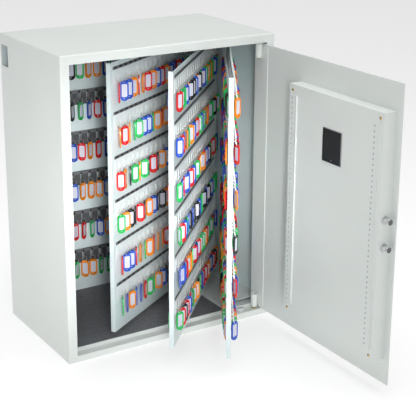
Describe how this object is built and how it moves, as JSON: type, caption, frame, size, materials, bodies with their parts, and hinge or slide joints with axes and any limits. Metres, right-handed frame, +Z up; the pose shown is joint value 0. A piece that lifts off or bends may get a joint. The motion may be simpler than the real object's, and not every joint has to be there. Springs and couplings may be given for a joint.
{
  "type": "key cabinet",
  "caption": "Steel key cabinet with an inset door, electronic bolt lock and swing-out key leaves with hooks and coloured tags.",
  "frame": {"origin": "centre of the cabinet's underside", "axes": "+Z up, -Y out of the cabinet's front, +X towards the door's hinge side"},
  "size_m": [0.6295, 0.9053, 0.8],
  "materials": {
    "white_paint": "fine satin powder coat",
    "grey_paint": "satin powder coat",
    "dark_strip": "matt",
    "carpet": "needle felt",
    "zinc_steel": "zinc plated",
    "chrome": "polished",
    "brass": "passivated",
    "black_plastic": "fine grain",
    "tag_plastic": "moulded, several colours",
    "rubber_keys": "silicone",
    "cell_label": "shrink label",
    "board": "solder mask"
  },
  "bodies": {
    "cabinet": {"body_wrap": "white_paint", "front_frame": "white_paint", "back_panel": "white_paint", "door_sill": "white_paint", "head_rail": "white_paint", "floor_plate": "grey_paint", "floor_carpet": "carpet", "leaf_bracket_lower": "grey_paint", "leaf_bracket_upper": "grey_paint", "leaf_pins": "zinc_steel", "door_pins": "brass", "sill_glide": "white_paint", "wall_hook_rails": "dark_strip", "wall_number_strips": "dark_strip", "wall_key_tags": "tag_plastic", "wall_split_rings": "zinc_steel"},
    "leaf_1": {"leaf_1_panel": "white_paint", "leaf_1_bushes": "black_plastic", "leaf_1_hook_rails": "grey_paint", "leaf_1_number_strips": "dark_strip", "leaf_1_key_tags": "tag_plastic", "leaf_1_split_rings": "zinc_steel"},
    "leaf_2": {"leaf_2_panel": "white_paint", "leaf_2_bushes": "black_plastic", "leaf_2_hook_rails": "grey_paint", "leaf_2_number_strips": "dark_strip", "leaf_2_key_tags": "tag_plastic", "leaf_2_split_rings": "zinc_steel"},
    "leaf_3": {"leaf_3_panel": "white_paint", "leaf_3_bushes": "black_plastic", "leaf_3_hook_rails": "grey_paint", "leaf_3_number_strips": "dark_strip", "leaf_3_key_tags": "tag_plastic", "leaf_3_split_rings": "zinc_steel"},
    "door": {"door_plate": "white_paint", "anti_pry_flange": "white_paint", "hinge_barrels": "white_paint", "lock_cover": "white_paint", "cover_posts": "zinc_steel", "cover_screws": "brass", "index_strip_hinge_side": "white_paint", "index_strip_lock_side": "white_paint", "battery_cover": "black_plastic", "battery_tray": "black_plastic", "battery_cells": "cell_label", "battery_lead": "black_plastic", "circuit_board": "board", "bolt_guide_plate": "zinc_steel", "bolt_bushes": "chrome", "guide_studs": "zinc_steel", "solenoid_body": "zinc_steel", "keypad_housing": "black_plastic", "keypad_mat": "rubber_keys", "spindle_bush": "zinc_steel"},
    "knob": {"knob": "chrome", "spindle_crank": "zinc_steel"},
    "bolts": {"bolt_carriage": "zinc_steel", "lock_bolts": "chrome"},
    "plunger": {"solenoid_plunger": "zinc_steel"}
  },
  "joints": [
    {"name": "door_hinge", "type": "hinge", "parent": "cabinet", "child": "door", "pos_m": [0.2705, -0.1675, 0], "axis": [0, 0, 1], "range_deg": [-90, 0]},
    {"name": "leaf_1_hinge", "type": "hinge", "parent": "cabinet", "child": "leaf_1", "pos_m": [0.288, 0.1395, 0], "axis": [0, 0, 1], "range_deg": [-32.3, 0]},
    {"name": "leaf_2_hinge", "type": "hinge", "parent": "cabinet", "child": "leaf_2", "pos_m": [0.288, 0.0795, 0], "axis": [0, 0, 1], "range_deg": [-46.4, 0]},
    {"name": "leaf_3_hinge", "type": "hinge", "parent": "cabinet", "child": "leaf_3", "pos_m": [0.288, 0.0195, 0], "axis": [0, 0, 1], "range_deg": [-58.4, 0]},
    {"name": "knob_turn", "type": "hinge", "parent": "door", "child": "knob", "pos_m": [0.2855, -0.633, 0.411], "axis": [-1, 0, 0], "range_deg": [-50, 0]},
    {"name": "bolt_slide", "type": "slide", "parent": "door", "child": "bolts", "axis": [0, 1, 0], "range_m": [-0.012, 0]},
    {"name": "plunger_slide", "type": "slide", "parent": "door", "child": "plunger", "axis": [0, 0, 1], "range_m": [-0.007, 0]}
  ],
  "couplings": [
    {"joint": "leaf_1_hinge", "follows": "door_hinge", "ratio": 0.35889},
    {"joint": "leaf_2_hinge", "follows": "door_hinge", "ratio": 0.51555},
    {"joint": "leaf_3_hinge", "follows": "door_hinge", "ratio": 0.64889},
    {"joint": "knob_turn", "follows": "bolt_slide", "rad_per_m": 72.7}
  ]
}
